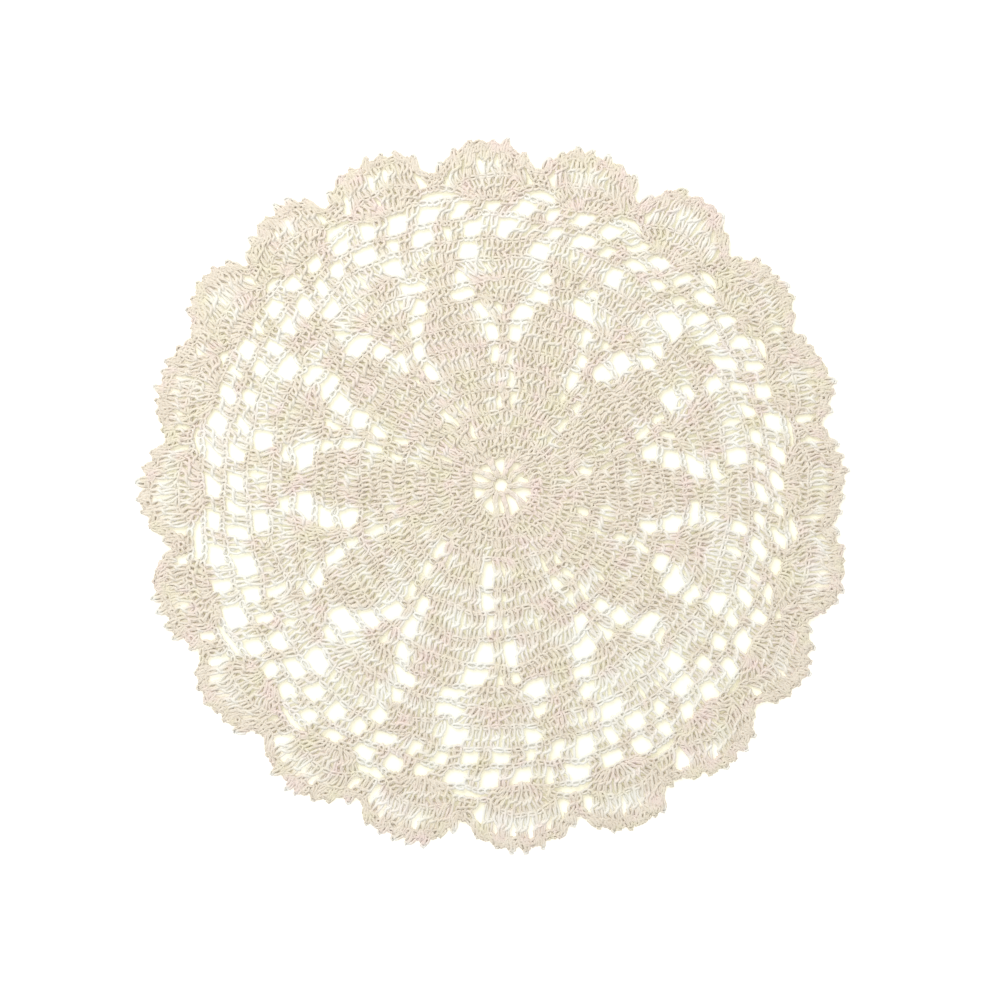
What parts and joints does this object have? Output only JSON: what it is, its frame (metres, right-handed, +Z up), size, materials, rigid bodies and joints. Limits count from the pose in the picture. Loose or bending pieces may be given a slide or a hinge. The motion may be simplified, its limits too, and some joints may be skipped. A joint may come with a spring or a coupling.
{
  "type": "crochet napkin",
  "caption": "Round crochet doily with a petal centre, net rounds and a scalloped picot edge, lying flat as a table napkin or mat.",
  "frame": {"origin": "centre of the work on the underside, where the first round was started", "axes": "+Z up out of the right side, square to the mat; +Y towards the gap between petals that the first fan stands on"},
  "size_m": [0.2979, 0.2997, 0.0026],
  "materials": {
    "cotton_yarn": "matte unbleached cotton crochet yarn, ply-twisted"
  },
  "bodies": {
    "root": {"doily": "cotton_yarn"}
  },
  "joints": []
}
